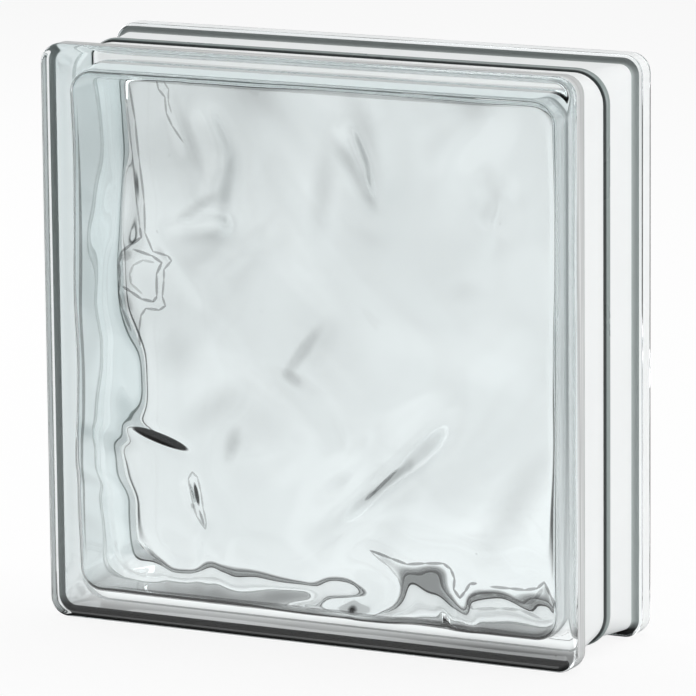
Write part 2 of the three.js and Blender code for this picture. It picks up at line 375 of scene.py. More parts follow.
class GLASSBLOCK_PG_sizes(bpy.types.PropertyGroup):
    """Sizes of the pressed glass body."""

    lip_thickness: length_property(
        "Lip thickness", "Thickness of the proud lip round each face", 8.5 * MM,
    )
    lip_corner: length_property("Lip corner", "Corner radius of the faces", 6.5 * MM)
    face_edge: length_property("Face edge", "Rounding between each face and its lip", 2 * MM)
    lip_back: length_property("Lip back", "Rounding at the back of the lip", 0.9 * MM)
    recess_depth: length_property(
        "Recess depth", "How far the mortar band lies under the lip", 2.75 * MM,
    )
    recess_corner: length_property("Recess corner", "Corner radius of the mortar band", 10 * MM)
    recess_foot: length_property(
        "Recess foot", "Hollow rounding where the band meets the lip", 1.2 * MM,
    )
    bead_height: length_property(
        "Bead height", "How far the fused seam stands out of the band", 1.2 * MM,
    )
    bead_half_width: length_property(
        "Bead half width", "Half the width of the fused seam", 2.0 * MM,
    )
    side_wall: length_property("Side wall", "Thickness of the side walls at the seam", 4.5 * MM)
    wall_draft: length_property(
        "Wall draft", "How much the side walls thicken towards the faces", 1.2 * MM,
    )
    face_thickness: length_property("Face thickness", "Mean thickness of the faces", 7.5 * MM)
    cavity_corner: length_property("Cavity corner", "Corner radius of the air space", 8 * MM)
    inner_fillet: length_property(
        "Inner fillet", "Rounding between side walls and faces inside", 2.5 * MM,
    )
    inner_bead: length_property(
        "Inner bead", "How far the fused seam stands into the air space", 0.8 * MM,
    )
    relief_depth: length_property(
        "Relief depth", "Height of the waves of the inner faces", 2.0 * MM,
    )


class GLASSBLOCK_PG_glass(bpy.types.PropertyGroup):
    """Finish of the glass."""

    clear: colour_property(
        "Glass colour", "Faint colour of the glass surface", (0.962, 0.994, 0.997),
    )
    tint: colour_property("Tint", "Colour that light takes on in the glass", (0.885, 0.925, 0.93))
    density: amount_property("Tint density", "How fast the glass takes up light, per metre", 2.0)
    coat: colour_property(
        "Band coat", "Colour of the coat on the mortar bands", (0.945, 0.965, 0.965),
    )
    glow: colour_property(
        "Coat glow", "Colour of light that shows through the coat", (0.985, 1.0, 1.0),
    )
    coat_mirroring: share_property(
        "Coat mirroring", "How much the glass under the coat mirrors, seen from inside", 0.2,
    )
    lip_mirroring: share_property(
        "Lip mirroring", "How much the glass under the lip's coat mirrors, seen from inside", 0.1,
    )
    front_loss: share_property(
        "Front loss", "How much less light shows through the coat of the front half", 0.15,
    )
    lip_loss: share_property(
        "Front lip loss", "How much thinner the coat is on the front lip", 0.35,
    )
    # Painted shade and painted reflection: the grey that covers the ledges
    ledge: colour_property("Ledge cover", "Colour of the dull ledges", (0.47, 0.52, 0.515))
    # Painted shade: the ledges darken next to the ground and along the top
    ground_shade_share: share_property(
        "Low ledge share", "Colour of the ledges next to the ground, as a share", 0.04,
    )
    top_shade_share: share_property(
        "High ledge share", "Colour of the ledges along the top, as a share", 0.65,
    )
    # Painted shade: the grey of the seam, and the near black of the grooves beside it
    seam: colour_property("Seam", "Colour of the fused seam", (0.29, 0.34, 0.335))
    seam_groove_shade: colour_property(
        "Seam foot", "Colour of the grooves beside the seam", (0.05, 0.06, 0.06),
    )
    ledge_mirroring: share_property(
        "Ledge mirroring", "How much the glass under the ledges mirrors, seen from inside", 0.0,
    )
    seam_mirroring: share_property(
        "Seam mirroring", "How much the glass under the seam mirrors, seen from inside", 0.3,
    )
    ior: bpy.props.FloatProperty(
        name="Refraction index", description="How strongly the glass bends light",
        default=1.52, min=1.0, max=2.5,
    )
    polish: share_property("Roughness", "Roughness of the fire polished surface", 0.0)
    ripple: length_property("Ripple", "Height of the fine ripple of the surface", 0.004 * MM)
    cord_depth: share_property(
        "Cord depth", "How much the soft streaks in the glass darken it", 0.03,
    )
    seed_depth: share_property(
        "Seed depth", "How much the tiny seeds in the glass darken it", 0.35,
    )
    cover_depth: share_property(
        "Cover depth", "How uneven the colour of the coat and of the ledges is", 0.06,
    )
    cover_grain: length_property("Cover grain", "Height of the grain of the coat", 0.03 * MM)


class GLASSBLOCK_PG_studio(bpy.types.PropertyGroup):
    """Light and floor."""

    floor_colour: colour_property("Floor colour", "Colour of the floor", (0.92, 0.92, 0.92))
    lamp_power: bpy.props.FloatProperty(
        name="Lamp power", description="Power of the main soft lamp", default=10.0, min=0.0,
        unit="POWER",
    )
    far_level: amount_property(
        "Far level", "Level of the floor and walls outside the pool of light", 0.6,
    )
    dim_level: amount_property(
        "Dim level", "Level of the gaps between the bright sides of the room", 0.04,
    )
    # A painted contact shadow: how dark clear glass shows the floor that the block covers
    contact_shadow_level: amount_property(
        "Contact level", "Level of the floor that the block covers, seen in clear glass", 0.08,
    )
    # Painted light: the floor under the block glows at these levels, which light the coat from
    # below
    front_glow_level: amount_property(
        "Front glow level", "Level of the floor under the front of the lower mortar band", 0.52,
    )
    rear_glow_level: amount_property(
        "Rear glow level", "Level of the floor under the rear of the lower mortar band", 1.3,
    )
    open_glow_level: amount_property(
        "Open glow level", "Level of the open floor that lights the coat", 0.8,
    )
    front_lip_glow: amount_property(
        "Front lip glow", "Level of the floor under the front lip", 0.05,
    )
    rear_lip_glow: amount_property("Rear lip glow", "Level of the floor under the rear lip", 0.55)
    world_level: amount_property("World level", "Level of the plain light from all round", 0.25)


# The finishes of the outside: bare glass, the pale coat on the bands and on the lips, the ledges
# under grey painted shade and painted reflection, and the fused seam in painted shade. The wavy
# front face inside is glass with streaks of painted shade, and near its thin lines it also has
# these lines of painted shade.
BARE, COATED, LIP_COATED, SHADED_LEDGE, FUSED, SHADE_STREAKED, SHADE_LINED = range(7)

# ---- Shaping
# A station is one outline of the body: its inset from the outline of the face, its place y
# through the block with the seam at 0, and the radius of its corners.


def quarter_arc(inset, y, inset_radius, y_radius, start, sweep, steps=ARC_STEPS):
    """Points (inset, y) of a quarter of an ellipse."""
    angles = start + sweep * np.linspace(0.0, 1.0, steps + 1)
    return list(zip(inset + inset_radius * np.cos(angles), y + y_radius * np.sin(angles)))


def outer_stations(sizes):
    """Stations of the outside of the front half, from its face to the crest of the seam.

    The fourth value of each is the finish of the band that follows it.
    """
    face_y = -BLOCK_DEPTH / 2
    lip_back_y = face_y + sizes.lip_thickness
    edge, back, foot = sizes.face_edge, sizes.lip_back, sizes.recess_foot
    depth = sizes.recess_depth

    def lip_corner(inset):
        return max(sizes.lip_corner - inset, SMALLEST_CORNER)

    def bead_corner(inset):
        return sizes.recess_corner + depth - inset

    lip_back = quarter_arc(back, lip_back_y - back, back, back, 2 * QUARTER_TURN, -QUARTER_TURN)
    band_start, band_end = lip_back_y + foot, -sizes.bead_half_width
    profile = (
        (BARE, lip_corner, [(edge + HOLDING_WIDTH, face_y)]),
        (BARE, lip_corner, quarter_arc(
            edge, face_y + edge, edge, edge, -QUARTER_TURN, -QUARTER_TURN,
        )),
        (LIP_COATED, lip_corner, [
            (0.0, face_y + edge + HOLDING_WIDTH), (0.0, lip_back_y - back - HOLDING_WIDTH),
        ]),
        (BARE, lip_corner, lip_back[:-1]),
        # The step at the back of each lip: a cover of grey painted shade and painted reflection
        (SHADED_LEDGE, lip_corner, lip_back[-1:]),
        (SHADED_LEDGE, lip_corner, quarter_arc(
            depth - foot, lip_back_y + foot, foot, foot, -QUARTER_TURN, QUARTER_TURN,
        )),
    )
    stations = [
        (inset, y, corner_at(inset), finish)
        for finish, corner_at, points in profile
        for inset, y in points
    ]
    step_corner = lip_corner(depth)
    for share in BAND_SHARES:
        corner = step_corner + (sizes.recess_corner - step_corner) * share
        stations.append((depth, band_start + (band_end - band_start) * share, corner, COATED))
    bead = quarter_arc(
        depth, 0.0, sizes.bead_height, sizes.bead_half_width, -QUARTER_TURN, -QUARTER_TURN,
    )
    return stations + [(inset, y, bead_corner(inset), FUSED) for inset, y in bead]


def outline(inset, corner):
    """Points (x, z) of one rounded outline, counter-clockwise seen from the front."""
    middle_x = BLOCK_WIDTH / 2 - inset - corner
    middle_z = BLOCK_HEIGHT / 2 - inset - corner
    angles = np.linspace(0.0, QUARTER_TURN, CORNER_STEPS + 1)
    arcs = []
    for side, (right, top) in enumerate(((1, 1), (-1, 1), (-1, -1), (1, -1))):
        turned = angles + side * QUARTER_TURN
        arc_x = right * middle_x + corner * np.cos(turned)
        arc_z = top * middle_z + corner * np.sin(turned)
        arcs.append(np.column_stack((arc_x, arc_z)))
    points = []
    for arc, next_arc in zip(arcs, arcs[1:] + arcs[:1]):
        points += [arc, np.linspace(arc[-1], next_arc[0], SIDE_STEPS + 1)[1:-1]]
    return np.concatenate(points)


def relief_height(x, z, turn, depth):
    """Height of the wavy inner face over its mean level."""
    across = x * math.cos(turn) + z * math.sin(turn)
    up = z * math.cos(turn) - x * math.sin(turn)
    bend = 2 * math.pi / RELIEF_BEND_LENGTH
    bent_across = across + RELIEF_BEND * np.sin(bend * up)
    bent_up = up + RELIEF_BEND * np.sin(bend * across)
    height = 0.0
    for length, heading, share, phase in RELIEF_WAVES:
        angle = math.radians(heading)
        along = bent_across * math.cos(angle) + bent_up * math.sin(angle)
        height = height + share * np.sin(2 * math.pi * along / length + phase)
    return depth * height


def from_middle(x, z, middle_x, middle_z, angle):
    """Lengths along and across a line at an angle, from its middle."""
    from_x, from_z = x - middle_x * MM, z - middle_z * MM
    along = from_x * math.cos(angle) + from_z * math.sin(angle)
    return along, from_z * math.cos(angle) - from_x * math.sin(angle)


def crease_height(x, z, creases):
    """Height of the short creases that stand on the waves."""
    height = 0.0
    for middle_x, middle_z, length, width, heading, crest in creases:
        along, across = from_middle(x, z, middle_x, middle_z, math.radians(heading))
        along, across = along / (length * MM / 2), across / (width * MM / 2)
        height = height + crest * MM * np.exp(-(along ** 4) - across ** 2)
    return height


def gathered(x, z, creases):
    """Points (x, z) of a grid drawn closer together along the narrow creases."""
    for middle_x, middle_z, length, width, heading, _ in creases:
        if width > NARROW_CREASE:
            continue
        angle = math.radians(heading)
        along, across = from_middle(x, z, middle_x, middle_z, angle)
        past_end = (along / (length * MM)) ** 4 * GATHER_END
        pull = np.exp(-past_end - (across / GATHER_REACH) ** 2)
        shift = -GATHER_SHARE * across * pull
        x, z = x - shift * math.sin(angle), z + shift * math.cos(angle)
    return x, z


def square_points(columns, rows, rings, inset, corner, scale):
    """Points (x, z) on rounded outlines, counted along squares of 2 * rings steps."""
    half_width = BLOCK_WIDTH / 2 - inset
    half_height = BLOCK_HEIGHT / 2 - inset
    x = columns / rings * half_width
    z = rows / rings * half_height
    over_x = np.maximum(np.abs(x) - (half_width - corner), 0.0)
    over_z = np.maximum(np.abs(z) - (half_height - corner), 0.0)
    in_corner = (over_x > 0) & (over_z > 0)
    reach = np.where(in_corner, np.hypot(over_x, over_z), 1.0)
    pull = np.where(in_corner, corner / reach, 1.0)
    rounded_x = np.sign(x) * (half_width - corner + over_x * pull)
    rounded_z = np.sign(z) * (half_height - corner + over_z * pull)
    x = np.where(in_corner, rounded_x, x) * scale
    z = np.where(in_corner, rounded_z, z) * scale
    return x, z


class MeshParts:
    """Collects the vertices and faces of one mesh."""

    def __init__(self):
        self.vertices = []
        self.faces = []
        self.finishes = {}
        self.count = 0

    def add(self, points):
        """Adds an array of points and returns the number of the first."""
        first = self.count
        self.vertices.append(np.asarray(points, dtype=float).reshape(-1, 3))
        self.count += len(self.vertices[-1])
        return first

    def points_at(self, numbers):
        """The points of some vertex numbers."""
        return np.concatenate(self.vertices)[numbers]

    def band(self, first_loop, next_loop, finish=BARE):
        """Joins two closed loops of vertex numbers with a band of quads facing outwards."""
        turned = np.roll(first_loop, -1), np.roll(next_loop, -1)
        start = len(self.faces)
        self.faces.extend(zip(first_loop, next_loop, turned[1], turned[0]))
        self.finishes.setdefault(finish, []).extend(range(start, len(self.faces)))

    def finish(self, name):
        """The mesh object, smooth shaded and standing in the block's frame."""
        mesh = bpy.data.meshes.new(name)
        points = np.concatenate(self.vertices) + np.array(BLOCK_CENTRE)
        mesh.from_pydata(points.tolist(), [], [tuple(map(int, face)) for face in self.faces])
        slots = np.zeros(len(self.faces), dtype=int)
        for finish, numbers in self.finishes.items():
            slots[numbers] = finish
        mesh.polygons.foreach_set("material_index", slots)
        mesh.shade_smooth()
        body = bpy.data.objects.new(name, mesh)
        bpy.context.scene.collection.objects.link(body)
        return body


def add_outer_skin(parts, sizes):
    """The outside of both fused halves, face to face."""
    front = outer_stations(sizes)
    rear = [(inset, -y, corner, finish) for inset, y, corner, finish in reversed(front[:-1])]
    finishes = [finish for *_, finish in front[:-1]]
    finishes += reversed(finishes)
    loops = []
    for inset, y, corner, _ in front + rear:
        points = outline(inset, corner)
        first = parts.add(np.column_stack((points[:, 0], np.full(len(points), y), points[:, 1])))
        loops.append(np.arange(first, first + len(points)))
    for loop, next_loop, finish in zip(loops, loops[1:], finishes):
        parts.band(loop, next_loop, finish)
    parts.faces.append(tuple(loops[0]))
    parts.faces.append(tuple(reversed(loops[-1])))


def inner_face(sizes, turn, creases):
    """Grid of points of a wavy inner face of the front half, with its fillet."""
    steps = np.arange(-GRID_RINGS, GRID_RINGS + 1)
    columns, rows = np.meshgrid(steps, steps, indexing="ij")
    ring = np.maximum(np.abs(columns), np.abs(rows))
    fillet_turn = QUARTER_TURN * np.maximum(ring - RELIEF_RINGS, 0) / FILLET_RINGS
    from_wall = sizes.inner_fillet * (1 - np.sin(fillet_turn))
    corner = np.maximum(sizes.cavity_corner - from_wall, SMALLEST_CORNER)
    inset = sizes.recess_depth + sizes.side_wall + sizes.wall_draft + from_wall
    scale = np.minimum(ring / RELIEF_RINGS, 1.0)
    x, z = square_points(columns, rows, np.maximum(ring, 1), inset, corner, scale)
    x, z = gathered(x, z, creases)
    rise = sizes.inner_fillet * (1 - np.cos(fillet_turn))
    mean_y = -BLOCK_DEPTH / 2 + sizes.face_thickness
    y = mean_y + rise + relief_height(x, z, turn, sizes.relief_depth)
    y = y + crease_height(x, z, creases)
    return np.stack((x, y, z), axis=-1)


def near_lines(x, z):
    """Whether each place of the front inner face lies near a thin line."""
    near = np.zeros(x.shape, dtype=bool)
    for *_, points in SHADE_LINES:
        low = np.min(points, axis=0) - LINE_REACH
        high = np.max(points, axis=0) + LINE_REACH
        near |= (x > low[0] * MM) & (x < high[0] * MM) & (z > low[1] * MM) & (z < high[1] * MM)
    return near


def border_steps():
    """Columns and rows along the border of the grid, counter-clockwise seen from the front."""
    up = np.arange(-GRID_RINGS, GRID_RINGS)
    down = np.arange(GRID_RINGS, -GRID_RINGS, -1)
    full = np.full(2 * GRID_RINGS, GRID_RINGS)
    columns = np.concatenate((full, down, -full, up))
    rows = np.concatenate((up, full, down, -full))
    return columns, rows


def add_inner_faces(parts, sizes):
    """The two wavy faces of the air space, as the vertex numbers of their grids."""
    grids = {}
    sides = (("front", 0.0, FRONT_CREASES), ("rear", REAR_RELIEF_TURN, REAR_CREASES))
    for side, turn, creases in sides:
        points = inner_face(sizes, turn, creases)
        if side == "rear":
            points = (points * np.array((-1.0, -1.0, 1.0)))[::-1]
        first = parts.add(points)
        width = 2 * GRID_RINGS + 1
        numbers = first + np.arange(width * width).reshape(width, width)
        low, low_next = numbers[:-1, :-1], numbers[1:, :-1]
        high, high_next = numbers[:-1, 1:], numbers[1:, 1:]
        start = len(parts.faces)
        if side == "front":
            quads = low, high, high_next, low_next
            middles = (points[:-1, :-1] + points[1:, 1:]) / 2
            # Quads near a thin line get the glass that also has the painted shade of the lines
            lined = near_lines(middles[..., 0], middles[..., 2]).ravel()
            parts.finishes[SHADE_STREAKED] = start + np.flatnonzero(~lined)
            parts.finishes[SHADE_LINED] = start + np.flatnonzero(lined)
        else:
            quads = low, low_next, high_next, high
        parts.faces.extend(zip(*(corner.ravel() for corner in quads)))
        grids[side] = numbers
    return grids


def add_air_space(parts, sizes):
    """The skin of the air space: two wavy faces and the side walls with the bead of the seam."""
    grids = add_inner_faces(parts, sizes)
    columns, rows = border_steps()
    rim_inset = sizes.recess_depth + sizes.side_wall
    half_bead = sizes.bead_half_width

    def rim(inset, y):
        x, z = square_points(columns, rows, GRID_RINGS, inset, sizes.cavity_corner, 1.0)
        return np.column_stack((x, np.full(len(x), y), z))

    def add_loop(points):
        first = parts.add(points)
        loops.append(np.arange(first, first + len(points)))

    loops = [grids["front"][columns + GRID_RINGS, rows + GRID_RINGS]]
    rear_loop = grids["rear"][columns + GRID_RINGS, rows + GRID_RINGS]
    front_edge, rear_edge = parts.points_at(loops[0]), parts.points_at(rear_loop)
    front_rim, rear_rim = rim(rim_inset, -half_bead), rim(rim_inset, half_bead)
    shares = np.linspace(0.0, 1.0, WALL_STEPS + 1)[1:-1]
    bead = quarter_arc(
        rim_inset, 0.0, sizes.inner_bead, half_bead, -QUARTER_TURN, QUARTER_TURN,
    )
    for share in shares:
        add_loop(front_edge + (front_rim - front_edge) * share)
    for inset, y in bead + [(inset, -y) for inset, y in reversed(bead[:-1])]:
        add_loop(rim(inset, y))
    for share in shares:
        add_loop(rear_rim + (rear_edge - rear_rim) * share)
    loops.append(rear_loop)
    for loop, next_loop in zip(loops, loops[1:]):
        parts.band(next_loop, loop)


# ---- Shaders


def between(low, high, share):
    """The value that lies a share of the way from one to another."""
    return low + (high - low) * share


def math_operator(operation, swapped=False):
    """A Python operator of Value, which makes a Math node."""
    def operator(value, other):
        return value.result(operation, *((other, value) if swapped else (value, other)))
    return operator


class Value:
    """A shader socket that Python expressions turn into Math nodes."""

    def __init__(self, shader, socket):
        self.shader = shader
        self.socket = socket

    def result(self, operation, *pair):
        """The result of a Math node."""
        return self.shader.value(
            "ShaderNodeMath", 0, dict(enumerate(pair)), {"operation": operation},
        )

    __add__ = __radd__ = math_operator("ADD")
    __mul__ = __rmul__ = math_operator("MULTIPLY")
    __sub__, __rsub__ = math_operator("SUBTRACT"), math_operator("SUBTRACT", swapped=True)
    __truediv__, __rtruediv__ = math_operator("DIVIDE"), math_operator("DIVIDE", swapped=True)

    def size(self):
        """The value without its sign."""
        return self.result("ABSOLUTE", self)

    def clamped(self):
        """The value kept between 0 and 1."""
        return self.result("MINIMUM", self.result("MAXIMUM", self, 0.0), 1.0)

    def either(self, other):
        """The larger of two values."""
        return self.result("MAXIMUM", self, other)


# The numbers of a Mix node's colour sockets: its two inputs and its output
MIX_FIRST, MIX_SECOND, MIX_RESULT = 6, 7, 2


class Shader:
    """Builds the nodes of one material or world."""

    def __init__(self, owner):
        owner.use_nodes = True
        self.tree = owner.node_tree
        self.tree.nodes.clear()

    def node(self, kind, sockets=None, settings=None):
        """A new node, with its settings and then the values or links of its sockets."""
        made = self.tree.nodes.new(kind)
        for name, setting in (settings or {}).items():
            setattr(made, name, setting)
        for name, given in (sockets or {}).items():
            self._feed(made.inputs[name], given)
        return made

    def value(self, kind, output=0, sockets=None, settings=None):
        """One output of a new node, ready for expressions."""
        return Value(self, self.node(kind, sockets, settings).outputs[output])

    def vector(self, operation, *vectors, output=0):
        """One output of a Vector Math node."""
        return self.value(
            "ShaderNodeVectorMath", output, dict(enumerate(vectors)), {"operation": operation},
        )

    def dot(self, vector, axis):
        """The part of a vector along an axis."""
        return self.vector("DOT_PRODUCT", vector, axis, output="Value")

    def noise(self, vector, scale, detail):
        """Soft noise between 0 and 1."""
        return self.value("ShaderNodeTexNoise", "Fac", {
            "Vector": vector, "Scale": scale, "Detail": detail,
        })

    def bump(self, height, distance):
        """The normal of a surface with small relief."""
        return self.value("ShaderNodeBump", 0, {
            "Height": height, "Distance": distance, "Strength": 1.0,
        })

    def mixed(self, share, first, second):
        """A surface between two others."""
        return self.node("ShaderNodeMixShader", {
            0: share, 1: first.outputs[0], 2: second.outputs[0],
        })

    def length(self, vector):
        """The length of a vector."""
        return self.vector("LENGTH", vector, output="Value")

    def parts_of(self, vector):
        """The x, y and z of a vector."""
        parts = self.node("ShaderNodeSeparateXYZ", {0: vector})
        return [Value(self, part) for part in parts.outputs]

    def stretched(self, vector, scale):
        """A vector with its parts scaled one by one."""
        return self.vector("MULTIPLY", vector, scale)

    def shaded(self, colour, shade):
        """A colour made lighter or darker by a value."""
        return self.value(
            "ShaderNodeMix", MIX_RESULT,
            {0: 1.0, MIX_FIRST: (*colour, 1.0), MIX_SECOND: shade},
            {"data_type": "RGBA", "blend_type": "MULTIPLY"},
        )

    def blended(self, share, first, second):
        """A colour between two others."""
        return self.value(
            "ShaderNodeMix", MIX_RESULT,
            {0: share, MIX_FIRST: (*first, 1.0), MIX_SECOND: (*second, 1.0)},
            {"data_type": "RGBA"},
        )

    def _feed(self, socket, given):
        if isinstance(given, Value):
            given = given.socket
        if isinstance(given, bpy.types.NodeSocket):
            self.tree.links.new(given, socket)
        else:
            socket.default_value = given


def line_streaks():
    """A streak of painted shade for each piece of the thin lines."""
    for width, depth, hardness, points in SHADE_LINES:
        for (x, z), (next_x, next_z) in zip(points, points[1:]):
            length = math.hypot(next_x - x, next_z - z) * LINE_OVERLAP + LINE_END
            heading = math.degrees(math.atan2(next_z - z, next_x - x))
            yield (x + next_x) / 2, (z + next_z) / 2, length, width, heading, depth, hardness


def streak_shade(shader, place, streaks):
    """Painted shade: how much light the streaks drawn in the glass's colour let through."""
    shade = 1.0
    for streak in streaks:
        middle_x, middle_z, length, width, heading, depth, hardness = streak
        middle = (middle_x * MM, 0.0, middle_z * MM + BLOCK_HEIGHT / 2)
        angle = math.radians(heading)
        ahead, up = math.cos(angle), math.sin(angle)
        half_length, half_width = length / 2 * MM, width / 2 * MM
        away = shader.vector("SUBTRACT", place, middle)
        along = shader.dot(away, (ahead / half_length, 0.0, up / half_length))
        across = shader.dot(away, (-up / half_width, 0.0, ahead / half_width))
        apart = shader.value("ShaderNodeCombineXYZ", 0, {0: along, 1: across})
        shade = shade * shader.value("ShaderNodeMapRange", 0, {
            "Value": shader.length(apart), "From Min": 1 - 1 / hardness, "From Max": 1.0,
            "To Min": 1 - depth, "To Max": 1.0,
        }, {"interpolation_type": "SMOOTHSTEP"})
    return shade * shade


def glass_shader(shader, settings, streaks=()):
    """Clear glass: its surface, with cords, seeds, ripple and any painted shade, and its tint."""
    place = shader.value("ShaderNodeTexCoord", "Object")
    cords = shader.noise(shader.stretched(place, CORD_STRETCH), 1.0, 2.0)
    from_seed = shader.value("ShaderNodeTexVoronoi", "Distance", {
        "Vector": place, "Scale": 1 / SEED_SPACING,
    })
    near_seed = (SEED_EDGE - from_seed * SEED_SPACING / SEED_SIZE).clamped()
    shade = 1 - settings.cord_depth * cords
    shade = shade * (1 - settings.seed_depth * near_seed)
    if streaks:
        shade = shade * streak_shade(shader, place, streaks)
    ripple = shader.noise(place, 1 / RIPPLE_LENGTH, 1.0)
    surface = shader.node("ShaderNodeBsdfPrincipled", {
        "Base Color": shader.shaded(settings.clear, shade),
        "Roughness": settings.polish,
        "IOR": settings.ior,
        "Transmission Weight": 1.0,
        "Normal": shader.bump(ripple, settings.ripple),
    })
    tint = shader.node("ShaderNodeVolumeAbsorption", {
        "Color": (*settings.tint, 1.0),
        "Density": settings.density,
    })
    return surface, tint


def seen_rays(shader):
    """Values of 1 for rays from the camera, for bent or mirrored rays, and for spread ones."""
    path = shader.node("ShaderNodeLightPath")
    seen, mirrored, bent, spread = (
        Value(shader, path.outputs[name])
        for name in ("Is Camera Ray", "Is Glossy Ray", "Is Transmission Ray", "Is Diffuse Ray")
    )
    return seen, mirrored.either(bent), spread


def room_level(shader, studio, place):
    """Level of the room in the direction of a place: bright ahead and beside, dim in the gaps."""
    along = shader.dot(place, BRIGHT_AXIS)
    east, north, _ = shader.parts_of(place)
    turn = along * along / (east * east + north * north + TINY)
    ahead = ((turn - AHEAD_EDGE) / PANEL_SOFTNESS + 0.5).clamped()
    beside = ((BESIDE_EDGE - turn) / PANEL_SOFTNESS + 0.5).clamped()
    return between(studio.dim_level, 1, ahead + beside)


def floor_levels(shader, studio, place):
    """Level of the floor as the glass shows it, and the level that lights the coat."""
    along = shader.dot(place, POOL_AXIS) / POOL_LENGTH
    across = (shader.dot(place, POOL_CROSS_AXIS) - POOL_OFFSET) / POOL_WIDTH
    pool = 1 / (1 + along * along + across * across)
    east, north, _ = shader.parts_of(place)
    past_side = east.size() - BLOCK_WIDTH / 2
    past_face = north.size() - BLOCK_DEPTH / 2
    # Painted contact shadow: the floor that the block covers is dark where clear glass shows it
    open_floor = (past_side.either(past_face) / CONTACT_SOFTNESS).clamped()
    # Painted light under the block: the floor glows under the bands and lips, to light the coat
    under_band = ((-LIP_EDGE - past_face) / LIP_EDGE_SOFTNESS + 0.5).clamped()
    behind = (north / GLOW_FADE + 0.5).clamped()
    to_right = (east / GLOW_FADE_RIGHT).clamped()
    band_glow = studio.front_glow_level * (1 - GLOW_LOSS_RIGHT * to_right)
    band_glow = between(band_glow, studio.rear_glow_level, behind)
    lip_glow = between(studio.front_lip_glow, studio.rear_lip_glow, behind)
    glow = between(between(lip_glow, band_glow, under_band), studio.open_glow_level, open_floor)
    gap_share = ((shader.length(place) - GAP_START) / GAP_FADE).clamped()
    level = (1 - gap_share * (1 - room_level(shader, studio, place)))
    level = level * between(studio.far_level, 1, pool)
    return level * between(studio.contact_shadow_level, 1, open_floor), glow


def clear_glass(name, settings, streaks=()):
    """Clear pressed glass with a faint tint that deepens along the light's path."""
    material = bpy.data.materials.new(name)
    shader = Shader(material)
    surface, tint = glass_shader(shader, settings, streaks)
    shader.node("ShaderNodeOutputMaterial", {
        "Surface": surface.outputs[0],
        "Volume": tint.outputs[0],
    })
    return material


def covered_glass(name, settings, colour_of, mirroring):
    """Glass under a dull cover: the pale coat, and the painted shade of the ledges and the seam.
    Inside the glass some of the light mirrors, as in bare glass.

    A glowing cover is thin enough for the light outside to show through it, seen from inside.
    """
    roughness, glowing = COVER_FINISHES[name]
    material = bpy.data.materials.new(name)
    shader = Shader(material)
    surface, tint = glass_shader(shader, settings)
    place = shader.value("ShaderNodeTexCoord", "Object")
    cloud = shader.noise(place, 1 / CLOUD_LENGTH, 4.0)
    grain = shader.noise(place, 1 / GRAIN_LENGTH, 2.0)
    cover = shader.node("ShaderNodeBsdfPrincipled", {
        "Base Color": colour_of(settings, shader, place, 1 - settings.cover_depth * cloud),
        "Roughness": roughness + COVER_ROUGHNESS_SPREAD * (cloud - 0.5),
        "Normal": shader.bump(grain, settings.cover_grain),
    })
    _, from_seam, _ = shader.parts_of(place)
    front = (0.5 - from_seam / COAT_FADE).clamped()
    lit = shader.node("ShaderNodeBsdfTranslucent", {"Color": (*settings.glow, 1.0)})
    unlit = shader.node("ShaderNodeBsdfTranslucent", {"Color": BLACK})
    glow = shader.mixed(settings.front_loss * front, lit, unlit)
    behind = shader.mixed(mirroring, shader.mixed(glowing, cover, glow), surface)
    inside = shader.value("ShaderNodeNewGeometry", "Backfacing")
    shader.node("ShaderNodeOutputMaterial", {
        "Surface": shader.mixed(inside, cover, behind).outputs[0],
        "Volume": tint.outputs[0],
    })
    return material


def coat_colour(settings, shader, place, shade):
    """Colour of the pale coat."""
    return shader.shaded(settings.coat, shade)


def lip_colour(settings, shader, place, shade):
    """Colour of the coat on the lips, thinner and greyer on the front lip, in fine lines."""
    lines = shader.noise(shader.stretched(place, LIP_LINE_STRETCH), 1.0, 3.0)
    _, from_seam, _ = shader.parts_of(place)
    front = (-1 * from_seam / LIP_FADE).clamped()
    loss = front * (settings.lip_loss + lines - 0.5)
    return shader.shaded(settings.coat, shade * (1 - loss.clamped()))


def ledge_colour(settings, shader, place, shade):
    """Painted shade and reflection on the ledges, darker next to the ground and along the top."""
    _, _, height = shader.parts_of(place)
    # Painted shade next to the ground and along the top
    raised = ((height - LEDGE_FADE) / LEDGE_FADE).clamped()
    under_top = ((BLOCK_HEIGHT - LEDGE_FADE - height) / LEDGE_FADE).clamped()
    share = between(settings.ground_shade_share, 1, raised)
    share = share * between(settings.top_shade_share, 1, under_top)
    return shader.shaded(settings.ledge, shade * share)


def seam_colour(settings, shader, place, shade):
    """Painted shade on the fused seam, grey on its crest and near black in each side's groove."""
    _, from_seam, _ = shader.parts_of(place)
    groove = ((from_seam.size() - SEAM_CREST) / GROOVE_SOFTNESS).clamped()
    return shader.blended(groove, settings.seam, settings.seam_groove_shade)


# ---- Operators


